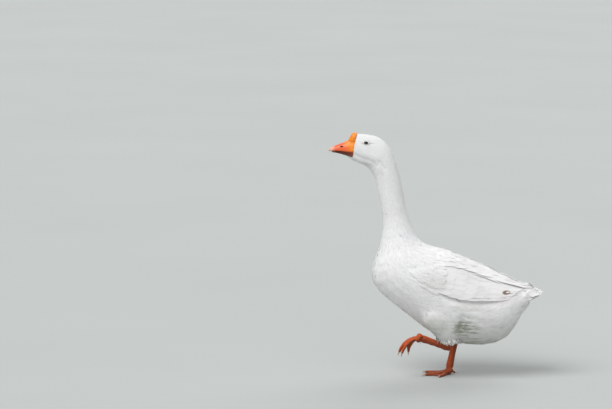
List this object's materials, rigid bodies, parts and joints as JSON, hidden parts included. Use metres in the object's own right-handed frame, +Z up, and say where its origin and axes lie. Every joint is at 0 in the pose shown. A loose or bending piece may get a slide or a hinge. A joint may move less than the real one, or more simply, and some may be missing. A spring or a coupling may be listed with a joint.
{
  "type": "domestic goose",
  "caption": "White domestic goose with a small orange knob, walking with its left foot lifted; a still, life-size model.",
  "frame": {"origin": "on the floor, under the middle of the bounding box", "axes": "+Z up, the goose faces -Y, its left side is +X"},
  "size_m": [0.2194, 0.6374, 0.7324],
  "materials": {
    "plumage": "soft matt white body feathers",
    "flight_feathers": "matt white quill feathers, slightly pinkish where they shade each other",
    "bill": "satin horn, orange to coral with a pale nail",
    "lower_bill": "satin horn, dark red-orange",
    "knob": "satin skin, yellow-orange",
    "eye": "wet gloss, near black brown",
    "leg_skin": "satin scaly skin, reddish orange",
    "claw": "satin horn, dark grey-brown"
  },
  "bodies": {
    "root": {"head": "plumage", "neck_upper": "plumage", "neck_lower": "plumage", "trunk": "plumage", "thigh_left": "plumage", "thigh_right": "plumage", "tail": "flight_feathers", "wing_left": "flight_feathers", "wing_right": "flight_feathers", "bill_upper": "bill", "bill_lower": "lower_bill", "knob": "knob", "eye_left": "eye", "eye_right": "eye", "shank_left": "leg_skin", "shank_right": "leg_skin", "foot_left": "leg_skin", "foot_right": "leg_skin", "claw_left_outer": "claw", "claw_left_middle": "claw", "claw_left_inner": "claw", "claw_left_hind": "claw", "claw_right_outer": "claw", "claw_right_middle": "claw", "claw_right_inner": "claw", "claw_right_hind": "claw"}
  },
  "joints": []
}
